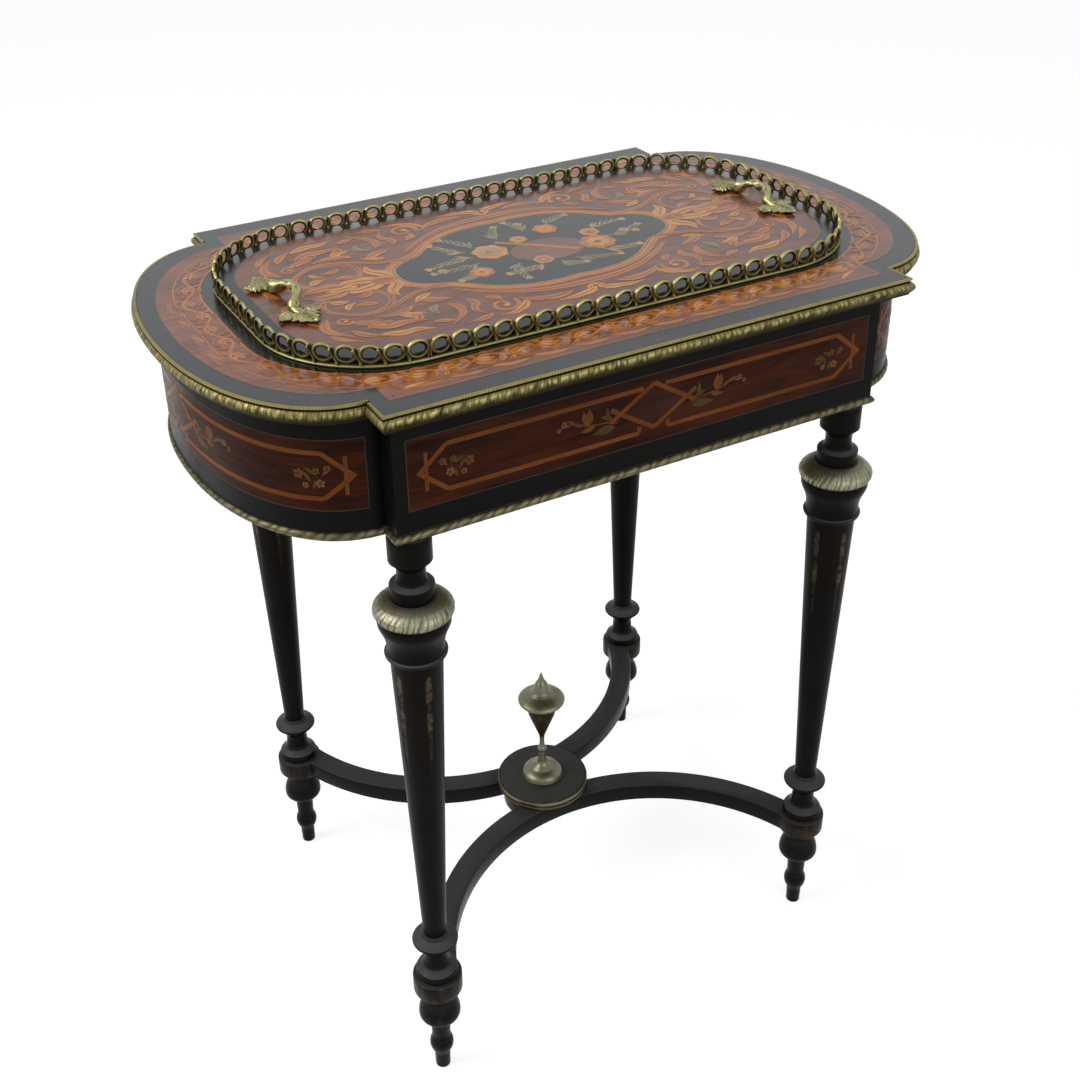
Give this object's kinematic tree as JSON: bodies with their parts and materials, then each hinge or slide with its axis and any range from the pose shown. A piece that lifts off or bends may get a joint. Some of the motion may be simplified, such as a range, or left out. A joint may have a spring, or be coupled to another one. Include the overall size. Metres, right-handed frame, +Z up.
{
  "type": "work table",
  "caption": "Oblong period table with bowed ends, inlaid top, lift-off tray lid with pierced brass gallery over a lined well, turned legs and a bowed stretcher with an urn finial.",
  "frame": {"origin": "on the floor, under the middle of the table", "axes": "+Z up, +X along the table's length towards its right end, -Y towards the front"},
  "size_m": [0.7114, 0.4396, 0.7721],
  "materials": {
    "marquetry": "French polished marquetry veneer",
    "rosewood": "French polished rosewood veneer",
    "ebonised": "ebonised and polished",
    "poplar": "bare planed wood",
    "brass": "aged cast and stamped brass",
    "zinc": "dull folded sheet",
    "steel": "plain turned"
  },
  "bodies": {
    "table": {"top_board": "marquetry", "apron_front": "rosewood", "apron_back": "rosewood", "apron_left": "rosewood", "apron_right": "rosewood", "corner_post_front_left": "ebonised", "corner_post_front_right": "ebonised", "corner_post_back_left": "ebonised", "corner_post_back_right": "ebonised", "base_board": "poplar", "glue_cleat_front": "poplar", "glue_cleat_back": "poplar", "zinc_liner": "zinc", "top_moulding_front": "brass", "top_moulding_back": "brass", "top_moulding_left": "brass", "top_moulding_right": "brass", "base_moulding_front": "brass", "base_moulding_back": "brass", "base_moulding_left": "brass", "base_moulding_right": "brass", "leg_front_left": "ebonised", "leg_front_right": "ebonised", "leg_back_left": "ebonised", "leg_back_right": "ebonised", "leg_collar_front_left": "brass", "leg_collar_front_right": "brass", "leg_collar_back_left": "brass", "leg_collar_back_right": "brass", "foot_front_left": "ebonised", "foot_front_right": "ebonised", "foot_back_left": "ebonised", "foot_back_right": "ebonised", "stretcher_front": "ebonised", "stretcher_back": "ebonised", "hub_block": "ebonised", "stretcher_hub": "ebonised", "hub_ring": "brass", "finial_base": "brass", "finial_urn": "brass", "finial_cover": "brass", "finial_rod": "steel", "finial_nut": "steel"},
    "lid": {"lid_panel": "marquetry", "gallery_front": "brass", "gallery_back": "brass", "gallery_left": "brass", "gallery_right": "brass", "handle_left": "brass", "handle_right": "brass", "handle_screw_front_left": "steel", "handle_screw_front_right": "steel", "handle_screw_back_left": "steel", "handle_screw_back_right": "steel"}
  },
  "joints": [
    {"name": "lid_lift", "type": "slide", "parent": "table", "child": "lid", "axis": [0, 0, 1], "range_m": [0, 0.2]}
  ]
}
